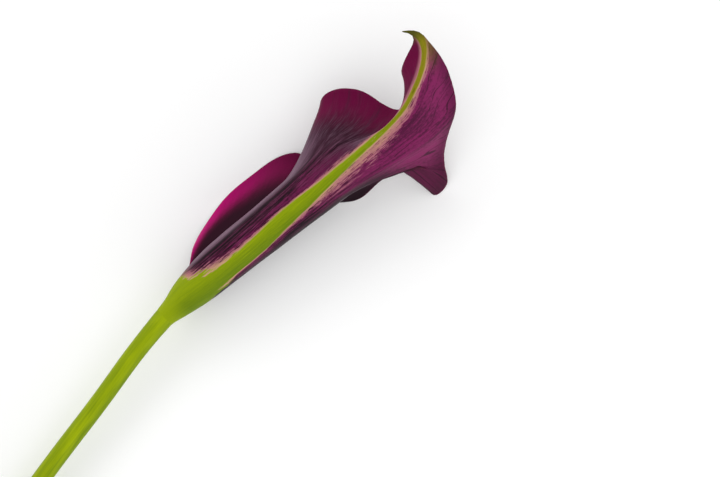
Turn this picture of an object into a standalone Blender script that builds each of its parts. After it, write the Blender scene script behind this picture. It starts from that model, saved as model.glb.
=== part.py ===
"""Calla lily flower: a cut stem, one rolled spathe and the spadix inside it, lying with its mouth down.

Metres, Z up, origin at the middle of the underside. +X runs from the cut end of the stem to the tip
of the flower and +Y is on the flower's left when it is seen from above. The tables are in millimetres.
"""
import bmesh
import bpy
import numpy as np
from mathutils import Vector

MM = 0.001
FLOWER_NAME = "calla_lily_flower"

# where the drawing's own zero sits in the finished part
SHIFT = (49.595, 9.564, -0.066)

# spathe: the sheet, seen as veins that rise from the stem and end on one long rim
SHEET_THICKNESS = 0.8
SHEET_WIND = 1.5  # growth of the tube's radius in one full turn
VEIN_COUNT = 67
VEIN_STEPS = 27
WIND_OPENS = (0.0, 5.0)  # distances along the midrib
WRAP_OPENS = (6.0, 28.0)
WRAP_AT_BASE = 0.8
KEEL_FOLD = (72.0, 88.0, 0.9)  # the left half folds under the midrib: from, to, share

# midrib: x, y, z
MIDRIB = (
    (-21.5, -1.3, 12.6), (-16, -0.9, 14.2), (-9, -1.2, 16.4), (0, -1.7, 17.9), (11, -1.75, 19.0),
    (22, -1.45, 19.9), (32, -1.25, 20.8), (42, -0.7, 21.8), (50, -0.2, 23.1), (58, 0.1, 24.9),
    (65, 0.6, 27.2), (71, 1.5, 29.7), (76.3, 3.5, 32.3), (80.9, 6.0, 34.5), (84.5, 9.0, 36.2),
    (86.6, 12.2, 37.4), (86.8, 15.2, 38.1), (83.8, 18.4, 38.5),
)

# tube: distance along the midrib, radius, turn of the midrib away from the top (degrees)
TUBE = (
    (0, 3.1, 0), (2, 3.35, 1), (4, 3.8, 4), (7, 4.7, 8), (11, 5.5, 12), (17, 6.3, 17), (23, 6.7, 21),
    (31, 6.9, 21), (42, 7.1, 16), (52, 7.4, 14), (60, 7.8, 11), (70, 8.2, 6), (80, 8.4, 2), (90, 8.4, 0),
    (130, 8.4, 0),
)

# rim: wrap angle, x, y, z, where the vein leaves the tube (share of its length), how late it opens
RIM = (
    (-197, -19.6, 0.1, 7.0, 0.95, 2.0),
    (-196.5, -14.7, 0.6, 6.6, 0.95, 2.0),
    (-195, -7.0, 0.1, 5.9, 0.95, 2.0),
    (-190, 7.7, 1.8, 6.3, 0.95, 2.0),
    (-182, 22.6, 2.0, 6.8, 0.9, 2.0),
    (-168, 35.2, 2.4, 6.0, 0.8, 2.0),
    (-152, 42.4, 3.8, 3.8, 0.7, 1.8),
    (-136, 45.7, 8.0, 2.6, 0.7, 1.7),
    (-120, 49.0, 13.7, 3.7, 0.7, 1.6),
    (-107, 52.6, 17.5, 7.2, 0.7, 1.5),
    (-95, 55.2, 19.6, 10.8, 0.7, 1.4),
    (-84, 58.0, 19.6, 13.2, 0.68, 1.5),
    (-73, 61.8, 17.8, 14.6, 0.66, 1.6),
    (-62, 65.5, 13.9, 15.4, 0.64, 1.8),
    (-52, 67.2, 9.6, 16.2, 0.62, 1.9),
    (-44, 68.5, 5.4, 17.2, 0.6, 1.9),
    (-36, 71.4, 2.0, 18.9, 0.6, 1.9),
    (-28, 75.6, 3.4, 22.2, 0.8, 1.9),
    (-22, 77.0, 5.6, 25.6, 0.84, 1.9),
    (-18, 77.0, 7.9, 27.4, 0.86, 1.9),
    (-14, 77.4, 10.0, 29.5, 0.88, 1.9),
    (-11, 79.3, 11.4, 31.6, 0.88, 1.9),
    (-8, 82.3, 12.7, 34.2, 0.88, 1.9),
    (-5, 85.2, 14.2, 36.4, 0.86, 1.9),
    (-3, 85.6, 16.0, 37.7, 0.8, 1.9),
    (0, 83.8, 18.4, 38.5, 0.8, 1.9),
    (3, 86.9, 16.4, 37.9, 0.8, 1.9),
    (7, 88.4, 12.4, 36.6, 0.5, 1.9),
    (12, 88.6, 8.2, 34.6, 0.5, 1.9),
    (20, 88.2, 3.0, 31.6, 0.5, 1.9),
    (30, 86.4, -2.6, 28.0, 0.5, 1.9),
    (42, 83.5, -7.8, 24.4, 0.5, 1.9),
    (55, 78.9, -11.3, 18.8, 0.6, 1.9),
    (68, 74.5, -14.7, 12.6, 0.65, 1.9),
    (80, 71.3, -19.0, 5.8, 0.72, 2.5),
    (88, 69.8, -22.4, 2.4, 0.78, 5.2),
    (95, 67.4, -24.0, 1.1, 0.8, 7.0),
    (102, 63.9, -23.9, 0.5, 0.82, 8.0),
    (112, 63.5, -18.6, 1.5, 0.82, 6.5),
    (118, 62.1, -13.7, 2.7, 0.8, 4.0),
    (125, 57.5, -10.8, 3.0, 0.76, 2.2),
    (138, 50.0, -10.4, 1.4, 0.74, 1.9),
    (150, 45.8, -10.4, 1.1, 0.72, 1.9),
    (162, 42.0, -8.6, 1.0, 0.7, 1.9),
    (175, 40.4, -3.6, 1.0, 0.7, 1.9),
    (187, 41.0, 5.0, 1.0, 0.7, 1.9),
    (194, 40.4, 11.0, 1.0, 0.66, 1.9),
    (199, 37.0, 13.8, 0.9, 0.6, 1.9),
    (204, 32.2, 15.1, 0.7, 0.55, 1.9),
    (211, 24.6, 15.5, 0.15, 0.45, 1.9),
    (217, 15.9, 15.4, 0.15, 0.4, 1.9),
    (222, 8.7, 13.8, 1.1, 0.4, 1.9),
    (226, 2.6, 11.8, 2.3, 0.4, 1.9),
    (228.4, -2.4, 9.3, 3.6, 0.45, 1.9),
    (230, -5.9, 5.9, 4.8, 0.55, 1.9),
    (231.2, -9.6, 3.0, 5.4, 0.7, 1.9),
    (232.2, -13.8, 1.2, 5.5, 0.85, 1.9),
    (233, -19.6, -0.7, 6.2, 0.95, 1.9),
)

# stem: x, y, z, radius, from the cut end up to the foot of the spathe and the spigot inside it
STEM = (
    (-187.5, -36.4, 2.86, 2.8), (-165, -34.0, 3.6, 2.8), (-140, -29.8, 4.5, 2.75), (-100, -20.6, 6.1, 2.75),
    (-72, -13.3, 7.3, 2.75), (-49, -7.7, 8.3, 2.75), (-38, -4.75, 8.8, 2.78), (-30, -2.9, 9.2, 2.85),
    (-25, -1.9, 9.4, 2.97), (-21.9, -1.35, 9.5, 3.07),
)
SPIGOT_RADIUS = 1.85
SPIGOT_REACH = 5.0
STEM_SIDES = 24

# spadix: share of its length, radius
SPADIX_FROM = 0.4  # gap above the spigot
SPADIX_LENGTH = 42.0
SPADIX = (
    (0.0, 1.5), (0.02, 1.95), (0.06, 2.25), (0.3, 2.4), (0.6, 2.45), (0.82, 2.3), (0.92, 1.95),
    (0.97, 1.45), (0.99, 0.95), (1.0, 0.45),
)
SPADIX_SIDES = 20

LEAF_GREEN = (0.30, 0.42, 0.05, 1.0)
PLUM = (0.16, 0.02, 0.08, 1.0)
POLLEN_GOLD = (0.55, 0.30, 0.05, 1.0)


def spline(knots, values, at):
    """Natural cubic spline through the values at the knots, read off at other places."""
    x = np.asarray(knots, float)
    y = np.asarray(values, float).reshape(len(x), -1)
    h = np.diff(x)
    count = len(x)
    system = np.eye(count)
    right = np.zeros_like(y)
    for i in range(1, count - 1):
        system[i, i - 1:i + 2] = h[i - 1], 2 * (h[i - 1] + h[i]), h[i]
        right[i] = 6 * ((y[i + 1] - y[i]) / h[i] - (y[i] - y[i - 1]) / h[i - 1])
    bend = np.linalg.solve(system, right)
    k = np.clip(np.searchsorted(x, at) - 1, 0, count - 2)
    t = (np.asarray(at, float) - x[k])[:, None]
    step = h[k][:, None]
    slope = (y[k + 1] - y[k]) / step - step * (2 * bend[k] + bend[k + 1]) / 6
    return y[k] + t * (slope + t * (bend[k] / 2 + t * (bend[k + 1] - bend[k]) / (6 * step)))


def columns(places, knots, table):
    """Straight-line reading of every column of a table."""
    return np.stack([np.interp(places, knots, column) for column in table.T], -1)


def softened(values, spread):
    """A column smoothed along its length, with both ends kept."""
    reach = 4 * spread
    weights = np.exp(-0.5 * (np.arange(-reach, reach + 1) / spread) ** 2)
    before = 2 * values[0] - values[1:reach + 1][::-1]
    after = 2 * values[-1] - values[-reach - 1:-1][::-1]
    return np.convolve(np.r_[before, values, after], weights / weights.sum(), "valid")


def eased(value, start, end):
    t = np.clip((value - start) / (end - start), 0, 1)
    return t * t * (3 - 2 * t)


def path_lengths(points):
    return np.r_[0, np.cumsum(np.linalg.norm(np.diff(points, axis=0), axis=1))]


class Midrib:
    """The midrib, its heading in plan, and the tube it rides on, against distance along it."""

    def __init__(self):
        knots = np.array(MIDRIB, float)
        chord = path_lengths(knots)
        points = spline(chord, knots, np.linspace(0, chord[-1], 1201))
        distance = path_lengths(points)
        self.s = np.linspace(0, distance[-1], 1201)
        self.points = columns(self.s, distance, points)
        ahead = np.gradient(self.points, self.s, axis=0) * (1, 1, 0)
        self.ahead = ahead / np.linalg.norm(ahead, axis=1)[:, None]
        self.left = np.cross((0, 0, 1), self.ahead)
        tube = np.array(TUBE, float)
        self.radius = softened(np.interp(self.s, tube[:, 0], tube[:, 1]), 15)
        self.turn = np.radians(softened(np.interp(self.s, tube[:, 0], tube[:, 2]), 15))

    def place(self, s, left, drop):
        at = columns(s, self.s, self.points)
        at += columns(s, self.s, self.left) * left[..., None]
        at[..., 2] -= drop
        return at

    def beside(self, points):
        """Distance along the midrib, left and drop of points given in space."""
        away = points[:, None, :2] - self.points[None, :, :2]
        along = np.abs((away * self.ahead[None, :, :2]).sum(2)) + 0.05 * np.linalg.norm(away, axis=2)
        nearest = along.argmin(1)
        left = ((points - self.points[nearest]) * self.left[nearest]).sum(1)
        return self.s[nearest], left, self.points[nearest][:, 2] - points[:, 2]

    def centre(self, s):
        """Middle of the tube."""
        radius = np.interp(s, self.s, self.radius)
        turn = np.interp(s, self.s, self.turn)
        return self.place(s, radius * np.sin(turn), radius * np.cos(turn))


def spathe_sheet(vein_count, steps):
    """Grid of points on the outside of the spathe, one row for each vein."""
    midrib = Midrib()
    rim = np.array(RIM, float)
    angles = np.linspace(rim[0, 0], rim[-1, 0], 4001)
    rows = spline(rim[:, 0], rim[:, 1:], angles)
    distance = path_lengths(rows[:, :3])
    evenly = 0.6 * distance / distance[-1] + 0.4 * (angles - angles[0]) / (angles[-1] - angles[0])
    chosen = np.interp(np.linspace(0, 1, vein_count), evenly, angles)
    rows = columns(chosen, angles, rows)
    rim_s, rim_left, rim_drop = (value[:, None] for value in midrib.beside(rows[:, :3]))
    leaves, power = rows[:, 3:4], rows[:, 4:5]

    s = rim_s * np.linspace(0, 1, steps)[None, :]
    radius = np.interp(s, midrib.s, midrib.radius)
    turn = np.interp(s, midrib.s, midrib.turn)
    wrap = WRAP_AT_BASE + (1 - WRAP_AT_BASE) * eased(s, *WRAP_OPENS)
    angle = np.radians(chosen[:, None]) * wrap
    wound = radius + SHEET_WIND * eased(s, *WIND_OPENS) * angle / (2 * np.pi)
    left = radius * np.sin(turn) - wound * np.sin(angle + turn)
    drop = radius * np.cos(turn) - wound * np.cos(angle + turn)
    fold_from, fold_to, fold_share = KEEL_FOLD
    left = left * np.where(angle < 0, 1 - fold_share * eased(s, fold_from, fold_to), 1)

    start = np.minimum(leaves, 0.98) * rim_s
    opened = np.clip((s - start) / (rim_s - start), 0, 1) ** power
    return midrib.place(s, left + (rim_left - left) * opened, drop + (rim_drop - drop) * opened)


def clear_scene():
    for item in list(bpy.data.objects):
        bpy.data.objects.remove(item, do_unlink=True)


def finished(point):
    return Vector(((point[0] + SHIFT[0]) * MM, (point[1] + SHIFT[1]) * MM, (point[2] + SHIFT[2]) * MM))


def coloured(name, colour, roughness):
    material = bpy.data.materials.new(name)
    material.use_nodes = True
    shader = material.node_tree.nodes["Principled BSDF"]
    shader.inputs["Base Color"].default_value = colour
    shader.inputs["Roughness"].default_value = roughness
    return material


def keep(item, collection, material):
    collection.objects.link(item)
    item.data.materials.clear()
    item.data.materials.append(material)
    return item


def as_mesh(item, collection, material):
    """Swap a curve for the mesh it draws."""
    bpy.context.scene.collection.objects.link(item)
    bpy.context.view_layer.update()
    graph = bpy.context.evaluated_depsgraph_get()
    mesh = bpy.data.meshes.new_from_object(item.evaluated_get(graph))
    name = item.name
    bpy.data.objects.remove(item, do_unlink=True)
    shell = bmesh.new()
    shell.from_mesh(mesh)
    bmesh.ops.remove_doubles(shell, verts=shell.verts, dist=1e-6)
    bmesh.ops.recalc_face_normals(shell, faces=shell.faces)
    for face in shell.faces:
        face.smooth = len(face.verts) == 4
    shell.to_mesh(mesh)
    shell.free()
    mesh.name = name
    return keep(bpy.data.objects.new(name, mesh), collection, material)


def swept_rod(name, points, radii, sides):
    """A round rod along the points, closed at both ends."""
    curve = bpy.data.curves.new(name, "CURVE")
    curve.dimensions = "3D"
    curve.bevel_depth = MM
    curve.bevel_resolution = sides // 2 - 2
    curve.resolution_u = 1
    curve.render_resolution_u = 1
    curve.use_fill_caps = True
    curve.twist_mode = "MINIMUM"
    line = curve.splines.new("POLY")
    line.points.add(len(points) - 1)
    for place, point, radius in zip(line.points, points, radii):
        place.co = (*finished(point), 1.0)
        place.radius = radius
    return bpy.data.objects.new(name, curve)


def make_spathe(collection):
    sheet = spathe_sheet(VEIN_COUNT, VEIN_STEPS)
    mesh = bpy.data.meshes.new("spathe")
    corners = [finished(point) for vein in sheet for point in vein]
    faces = []
    for vein in range(VEIN_COUNT - 1):
        for step in range(VEIN_STEPS - 1):
            a = vein * VEIN_STEPS + step
            faces.append((a, a + VEIN_STEPS, a + VEIN_STEPS + 1, a + 1))
    mesh.from_pydata(corners, [], faces)
    for face in mesh.polygons:
        face.use_smooth = True
    item = keep(bpy.data.objects.new("spathe", mesh), collection, coloured("spathe_plum", PLUM, 0.45))
    skin = item.modifiers.new("sheet_thickness", "SOLIDIFY")
    skin.thickness = SHEET_THICKNESS * MM
    skin.offset = -1.0
    return item


def make_stem(collection, midrib):
    """Peduncle, with the narrow receptacle that stands inside the foot of the spathe."""
    knots = np.array(STEM, float)
    distance = path_lengths(knots[:, :3])
    path = spline(distance, knots, np.linspace(0, distance[-1], 34))
    reach = np.linspace(0, SPIGOT_REACH, 4)
    spigot = midrib.centre(reach)
    spigot[0] = path[-1, :3] + (0.02, 0, 0)
    points = np.r_[path[:, :3], spigot]
    radii = np.r_[path[:, 3], np.full(len(spigot), SPIGOT_RADIUS)]
    rod = swept_rod("stem", points, radii, STEM_SIDES)
    return as_mesh(rod, collection, coloured("stem_green", LEAF_GREEN, 0.5))


def make_spadix(collection, midrib):
    profile = np.array(SPADIX, float)
    first = SPIGOT_REACH + SPADIX_FROM
    points = midrib.centre(first + profile[:, 0] * SPADIX_LENGTH)
    rod = swept_rod("spadix", points, profile[:, 1], SPADIX_SIDES)
    return as_mesh(rod, collection, coloured("spadix_gold", POLLEN_GOLD, 0.7))


def main():
    clear_scene()
    collection = bpy.data.collections.new(FLOWER_NAME)
    bpy.context.scene.collection.children.link(collection)
    midrib = Midrib()
    make_stem(collection, midrib)
    make_spathe(collection)
    make_spadix(collection, midrib)


main()
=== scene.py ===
"""Calla lily flower: the finished look of the cut stem, the rolled spathe and the spadix.

Laid out as an add-on: every piece has an operator, and the sidebar panel lists them. Tables are in
millimetres in the drawing's own frame, which SHIFT moves to the part's frame, in metres.
"""
import math

import bpy
import numpy as np
from bpy.props import FloatProperty, FloatVectorProperty, IntProperty, PointerProperty
from mathutils import Matrix, Vector


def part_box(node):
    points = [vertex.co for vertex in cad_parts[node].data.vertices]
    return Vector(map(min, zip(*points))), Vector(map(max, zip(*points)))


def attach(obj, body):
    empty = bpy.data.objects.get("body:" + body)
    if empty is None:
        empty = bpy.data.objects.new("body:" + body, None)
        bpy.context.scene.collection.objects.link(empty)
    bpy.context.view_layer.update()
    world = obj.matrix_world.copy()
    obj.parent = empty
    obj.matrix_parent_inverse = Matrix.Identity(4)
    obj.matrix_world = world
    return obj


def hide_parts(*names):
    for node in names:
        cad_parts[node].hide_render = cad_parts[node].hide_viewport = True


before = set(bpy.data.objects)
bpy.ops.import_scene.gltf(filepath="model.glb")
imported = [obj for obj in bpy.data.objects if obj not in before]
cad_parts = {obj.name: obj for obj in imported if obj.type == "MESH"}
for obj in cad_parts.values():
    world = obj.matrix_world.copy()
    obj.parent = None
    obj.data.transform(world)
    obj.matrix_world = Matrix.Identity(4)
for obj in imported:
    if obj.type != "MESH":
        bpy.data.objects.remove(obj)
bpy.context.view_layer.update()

bl_info = {
    "name": "Calla Lily Flower",
    "version": (1, 0, 0),
    "blender": (4, 5, 0),
    "location": "View3D > Sidebar > Calla",
    "description": "Makes the visible pieces of a cut calla lily that lies with its mouth down",
    "category": "Add Mesh",
}

MM = 0.001
SHIFT = np.array((49.595, 9.564, -0.066))

# ---------------------------------------------------------------- shape of the flower

SHEET_WIND = 1.5  # growth of the tube's radius in one full turn
WIND_OPENS = (0.0, 5.0)  # distances along the midrib
WRAP_OPENS = (6.0, 28.0)
WRAP_AT_BASE = 0.8
KEEL_FOLD = (72.0, 88.0, 0.9)  # the left half folds under the midrib: from, to, share

# midrib: x, y, z
MIDRIB = (
    (-21.5, -1.3, 12.6), (-16, -0.9, 14.2), (-9, -1.2, 16.4), (0, -1.7, 17.9), (11, -1.75, 19.0),
    (22, -1.45, 19.9), (32, -1.25, 20.8), (42, -0.7, 21.8), (50, -0.2, 23.1), (58, 0.1, 24.9),
    (65, 0.6, 27.2), (71, 1.5, 29.7), (76.3, 3.5, 32.3), (80.9, 6.0, 34.5), (84.5, 9.0, 36.2),
    (86.6, 12.2, 37.4), (86.8, 15.2, 38.1), (83.8, 18.4, 38.5),
)

# tube: distance along the midrib, radius, turn of the midrib away from the top (degrees)
TUBE = (
    (0, 3.1, 0), (2, 3.35, 1), (4, 3.8, 4), (7, 4.7, 8), (11, 5.5, 12), (17, 6.3, 17), (23, 6.7, 21),
    (31, 6.9, 21), (42, 7.1, 16), (52, 7.4, 14), (60, 7.8, 11), (70, 8.2, 6), (80, 8.4, 2), (90, 8.4, 0),
    (130, 8.4, 0),
)

# rim: wrap angle, x, y, z, where the vein leaves the tube (share of its length), how late it opens
RIM = (
    (-197, -19.6, 0.1, 7.0, 0.95, 2.0),
    (-196.5, -14.7, 0.6, 6.6, 0.95, 2.0),
    (-195, -7.0, 0.1, 5.9, 0.95, 2.0),
    (-190, 7.7, 1.8, 6.3, 0.95, 2.0),
    (-182, 22.6, 2.0, 6.8, 0.9, 2.0),
    (-168, 35.2, 2.4, 6.0, 0.8, 2.0),
    (-152, 42.4, 3.8, 3.8, 0.7, 1.8),
    (-136, 45.7, 8.0, 2.6, 0.7, 1.7),
    (-120, 49.0, 13.7, 3.7, 0.7, 1.6),
    (-107, 52.6, 17.5, 7.2, 0.7, 1.5),
    (-95, 55.2, 19.6, 10.8, 0.7, 1.4),
    (-84, 58.0, 19.6, 13.2, 0.68, 1.5),
    (-73, 61.8, 17.8, 14.6, 0.66, 1.6),
    (-62, 65.5, 13.9, 15.4, 0.64, 1.8),
    (-52, 67.2, 9.6, 16.2, 0.62, 1.9),
    (-44, 68.5, 5.4, 17.2, 0.6, 1.9),
    (-36, 71.4, 2.0, 18.9, 0.6, 1.9),
    (-28, 75.6, 3.4, 22.2, 0.8, 1.9),
    (-22, 77.0, 5.6, 25.6, 0.84, 1.9),
    (-18, 77.0, 7.9, 27.4, 0.86, 1.9),
    (-14, 77.4, 10.0, 29.5, 0.88, 1.9),
    (-11, 79.3, 11.4, 31.6, 0.88, 1.9),
    (-8, 82.3, 12.7, 34.2, 0.88, 1.9),
    (-5, 85.2, 14.2, 36.4, 0.86, 1.9),
    (-3, 85.6, 16.0, 37.7, 0.8, 1.9),
    (0, 83.8, 18.4, 38.5, 0.8, 1.9),
    (3, 86.9, 16.4, 37.9, 0.8, 1.9),
    (7, 88.4, 12.4, 36.6, 0.5, 1.9),
    (12, 88.6, 8.2, 34.6, 0.5, 1.9),
    (20, 88.2, 3.0, 31.6, 0.5, 1.9),
    (30, 86.4, -2.6, 28.0, 0.5, 1.9),
    (42, 83.5, -7.8, 24.4, 0.5, 1.9),
    (55, 78.9, -11.3, 18.8, 0.6, 1.9),
    (68, 74.5, -14.7, 12.6, 0.65, 1.9),
    (80, 71.3, -19.0, 5.8, 0.72, 2.5),
    (88, 69.8, -22.4, 2.4, 0.78, 5.2),
    (95, 67.4, -24.0, 1.1, 0.8, 7.0),
    (102, 63.9, -23.9, 0.5, 0.82, 8.0),
    (112, 63.5, -18.6, 1.5, 0.82, 6.5),
    (118, 62.1, -13.7, 2.7, 0.8, 4.0),
    (125, 57.5, -10.8, 3.0, 0.76, 2.2),
    (138, 50.0, -10.4, 1.4, 0.74, 1.9),
    (150, 45.8, -10.4, 1.1, 0.72, 1.9),
    (162, 42.0, -8.6, 1.0, 0.7, 1.9),
    (175, 40.4, -3.6, 1.0, 0.7, 1.9),
    (187, 41.0, 5.0, 1.0, 0.7, 1.9),
    (194, 40.4, 11.0, 1.0, 0.66, 1.9),
    (199, 37.0, 13.8, 0.9, 0.6, 1.9),
    (204, 32.2, 15.1, 0.7, 0.55, 1.9),
    (211, 24.6, 15.5, 0.15, 0.45, 1.9),
    (217, 15.9, 15.4, 0.15, 0.4, 1.9),
    (222, 8.7, 13.8, 1.1, 0.4, 1.9),
    (226, 2.6, 11.8, 2.3, 0.4, 1.9),
    (228.4, -2.4, 9.3, 3.6, 0.45, 1.9),
    (230, -5.9, 5.9, 4.8, 0.55, 1.9),
    (231.2, -9.6, 3.0, 5.4, 0.7, 1.9),
    (232.2, -13.8, 1.2, 5.5, 0.85, 1.9),
    (233, -19.6, -0.7, 6.2, 0.95, 1.9),
)

# stem: x, y, z, radius, from the cut end up to the foot of the spathe
STEM = (
    (-187.5, -36.4, 2.86, 2.8), (-165, -34.0, 3.6, 2.8), (-140, -29.8, 4.5, 2.75), (-100, -20.6, 6.1, 2.75),
    (-72, -13.3, 7.3, 2.75), (-49, -7.7, 8.3, 2.75), (-38, -4.75, 8.8, 2.78), (-30, -2.9, 9.2, 2.85),
    (-25, -1.9, 9.4, 2.97), (-21.9, -1.35, 9.5, 3.07),
)
STEM_RIBS = ((0.006, 11, 0.7), (0.004, 17, 2.0))  # height as a share of the radius, count, phase
CUT_RINGS = (0.97, 0.66, 0.33)  # rings of the cut end, as shares of the stem's radius
TURNS_SQUARE = 30  # rings before the stem's end where they begin to turn square to the tube
SPIGOT_REACH = 5.0
SPIGOT_RINGS = 8
SPIGOT_RADII = (2.3, 1.85, 1.2)  # under the collar, along the spigot, at its end
SPADIX_FROM = 0.4  # gap above the spigot
SPADIX_LENGTH = 42.0
SPADIX_RINGS = 40

# spadix: share of its length, radius of its core
SPADIX_CORE = (
    (0.0, 1.35), (0.03, 1.75), (0.08, 1.95), (0.3, 2.05), (0.6, 2.1), (0.82, 1.95), (0.92, 1.6),
    (0.97, 1.1), (1.0, 0.4),
)

# spadix materials: name, darker colour, lighter colour, strength of the grain
SPADIX_TISSUES = (
    ("spadix_core", (0.30, 0.22, 0.05), (0.48, 0.38, 0.10), 0.2),
    ("spadix_pistils", (0.34, 0.33, 0.07), (0.60, 0.56, 0.18), 0.3),
    ("spadix_anthers", (0.50, 0.24, 0.02), (0.80, 0.50, 0.08), 0.6),
)
FLORET_RADIUS = 0.00037  # metres
FLORET_TURN = math.radians(137.508)  # the golden angle
FLORETS_FROM, FLORETS_SPAN = 0.012, 0.985  # shares of the spadix
PISTILS_TO = 0.34  # share of the spadix; anthers above

THINS_FROM = 0.35  # share of a vein past which the sheet grows thinner
PLACE_SLACK = 0.0015  # metres between the sheet's box and the frame's
WAXY = {"IOR": 1.42, "Specular IOR Level": 0.08}


def spline(knots, values, at):
    """Natural cubic spline through the values at the knots, read off at other places."""
    x = np.asarray(knots, float)
    y = np.asarray(values, float).reshape(len(x), -1)
    h = np.diff(x)
    count = len(x)
    system = np.eye(count)
    right = np.zeros_like(y)
    for i in range(1, count - 1):
        system[i, i - 1:i + 2] = h[i - 1], 2 * (h[i - 1] + h[i]), h[i]
        right[i] = 6 * ((y[i + 1] - y[i]) / h[i] - (y[i] - y[i - 1]) / h[i - 1])
    bend = np.linalg.solve(system, right)
    k = np.clip(np.searchsorted(x, at) - 1, 0, count - 2)
    t = (np.asarray(at, float) - x[k])[:, None]
    step = h[k][:, None]
    slope = (y[k + 1] - y[k]) / step - step * (2 * bend[k] + bend[k + 1]) / 6
    return y[k] + t * (slope + t * (bend[k] / 2 + t * (bend[k + 1] - bend[k]) / (6 * step)))


def columns(places, knots, table):
    """Straight-line reading of every column of a table."""
    return np.stack([np.interp(places, knots, column) for column in table.T], -1)


def softened(values, spread):
    """A column smoothed along its length, with both ends kept."""
    reach = 4 * spread
    weights = np.exp(-0.5 * (np.arange(-reach, reach + 1) / spread) ** 2)
    before = 2 * values[0] - values[1:reach + 1][::-1]
    after = 2 * values[-1] - values[-reach - 1:-1][::-1]
    return np.convolve(np.r_[before, values, after], weights / weights.sum(), "valid")


def eased(value, start, end):
    t = np.clip((value - start) / (end - start), 0, 1)
    return t * t * (3 - 2 * t)


def path_lengths(points):
    return np.r_[0, np.cumsum(np.linalg.norm(np.diff(points, axis=0), axis=1))]


def unit(vectors):
    return vectors / np.maximum(np.linalg.norm(vectors, axis=-1, keepdims=True), 1e-9)


class Midrib:
    """The midrib, its heading in plan, and the tube it rides on, against distance along it."""

    def __init__(self):
        knots = np.array(MIDRIB, float)
        chord = path_lengths(knots)
        points = spline(chord, knots, np.linspace(0, chord[-1], 1201))
        distance = path_lengths(points)
        self.s = np.linspace(0, distance[-1], 1201)
        self.points = columns(self.s, distance, points)
        ahead = np.gradient(self.points, self.s, axis=0) * (1, 1, 0)
        self.ahead = ahead / np.linalg.norm(ahead, axis=1)[:, None]
        self.left = np.cross((0, 0, 1), self.ahead)
        tube = np.array(TUBE, float)
        self.radius = softened(np.interp(self.s, tube[:, 0], tube[:, 1]), 15)
        self.turn = np.radians(softened(np.interp(self.s, tube[:, 0], tube[:, 2]), 15))

    def place(self, s, left, drop):
        at = columns(s, self.s, self.points)
        at += columns(s, self.s, self.left) * left[..., None]
        at[..., 2] -= drop
        return at

    def beside(self, points):
        """Distance along the midrib, left and drop of points given in space."""
        away = points[:, None, :2] - self.points[None, :, :2]
        along = np.abs((away * self.ahead[None, :, :2]).sum(2)) + 0.05 * np.linalg.norm(away, axis=2)
        nearest = along.argmin(1)
        left = ((points - self.points[nearest]) * self.left[nearest]).sum(1)
        return self.s[nearest], left, self.points[nearest][:, 2] - points[:, 2]

    def centre(self, s):
        """Middle of the tube."""
        radius = np.interp(s, self.s, self.radius)
        turn = np.interp(s, self.s, self.turn)
        return self.place(s, radius * np.sin(turn), radius * np.cos(turn))


class Sheet:
    """The outside of the spathe as a grid, one row for each vein, with what its colours follow."""

    def __init__(self, vein_count, steps):
        midrib = Midrib()
        rim = np.array(RIM, float)
        angles = np.linspace(rim[0, 0], rim[-1, 0], 4001)
        rows = spline(rim[:, 0], rim[:, 1:], angles)
        distance = path_lengths(rows[:, :3])
        evenly = 0.6 * distance / distance[-1] + 0.4 * (angles - angles[0]) / (angles[-1] - angles[0])
        chosen = np.interp(np.linspace(0, 1, vein_count), evenly, angles)
        rows = columns(chosen, angles, rows)
        rim_s, rim_left, rim_drop = (value[:, None] for value in midrib.beside(rows[:, :3]))
        leaves, power = rows[:, 3:4], rows[:, 4:5]

        share = np.linspace(0, 1, steps)[None, :]
        s = rim_s * share
        radius = np.interp(s, midrib.s, midrib.radius)
        turn = np.interp(s, midrib.s, midrib.turn)
        wrap = WRAP_AT_BASE + (1 - WRAP_AT_BASE) * eased(s, *WRAP_OPENS)
        angle = np.radians(chosen[:, None]) * wrap
        wound = radius + SHEET_WIND * eased(s, *WIND_OPENS) * angle / (2 * np.pi)
        left = radius * np.sin(turn) - wound * np.sin(angle + turn)
        drop = radius * np.cos(turn) - wound * np.cos(angle + turn)
        fold_from, fold_to, fold_share = KEEL_FOLD
        left = left * np.where(angle < 0, 1 - fold_share * eased(s, fold_from, fold_to), 1)
        start = np.minimum(leaves, 0.98) * rim_s
        opened = np.clip((s - start) / (rim_s - start), 0, 1) ** power
        left = left + (rim_left - left) * opened
        drop = drop + (rim_drop - drop) * opened

        self.points = midrib.place(s, left, drop)
        self.share = share + 0 * s
        self.along = s
        self.angle = np.degrees(angle)
        self.across = np.sign(angle) * np.hypot(left, drop)
        up_the_vein = np.linalg.norm(np.diff(self.points, axis=1), axis=2)
        climbed = np.concatenate([0 * s[:, :1], np.cumsum(up_the_vein, axis=1)], 1)
        self.to_rim = climbed[:, -1:] - climbed
        over = np.gradient(self.points, axis=0)
        up = np.gradient(self.points, axis=1)
        self.normal = unit(np.cross(over, up))
        self.outward = unit(up[:, -1])


def finished(points):
    """From the drawing's millimetres to the part's metres."""
    return (np.asarray(points, float) + SHIFT) * MM


# ---------------------------------------------------------------- small tools

def new_mesh(name, corners, faces, smooth=True):
    mesh = bpy.data.meshes.new(name)
    mesh.from_pydata([tuple(corner) for corner in corners], [], faces)
    mesh.polygons.foreach_set("use_smooth", [smooth] * len(mesh.polygons))
    mesh.update()
    return mesh


def new_object(name, data):
    added = bpy.data.objects.new(name, data)
    bpy.context.scene.collection.objects.link(added)
    return added


def new_piece(name, mesh, material):
    mesh.materials.append(material)
    return new_object(name, mesh)


def crisp_edges(mesh, corners):
    """Break the smooth shading along the edges that join these corners."""
    crease = mesh.attributes.new("sharp_edge", "BOOLEAN", "EDGE")
    crease.data.foreach_set("value", [set(edge.vertices) <= corners for edge in mesh.edges])


def stand_for(piece, node):
    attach(piece, "root")
    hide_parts(node)


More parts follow.
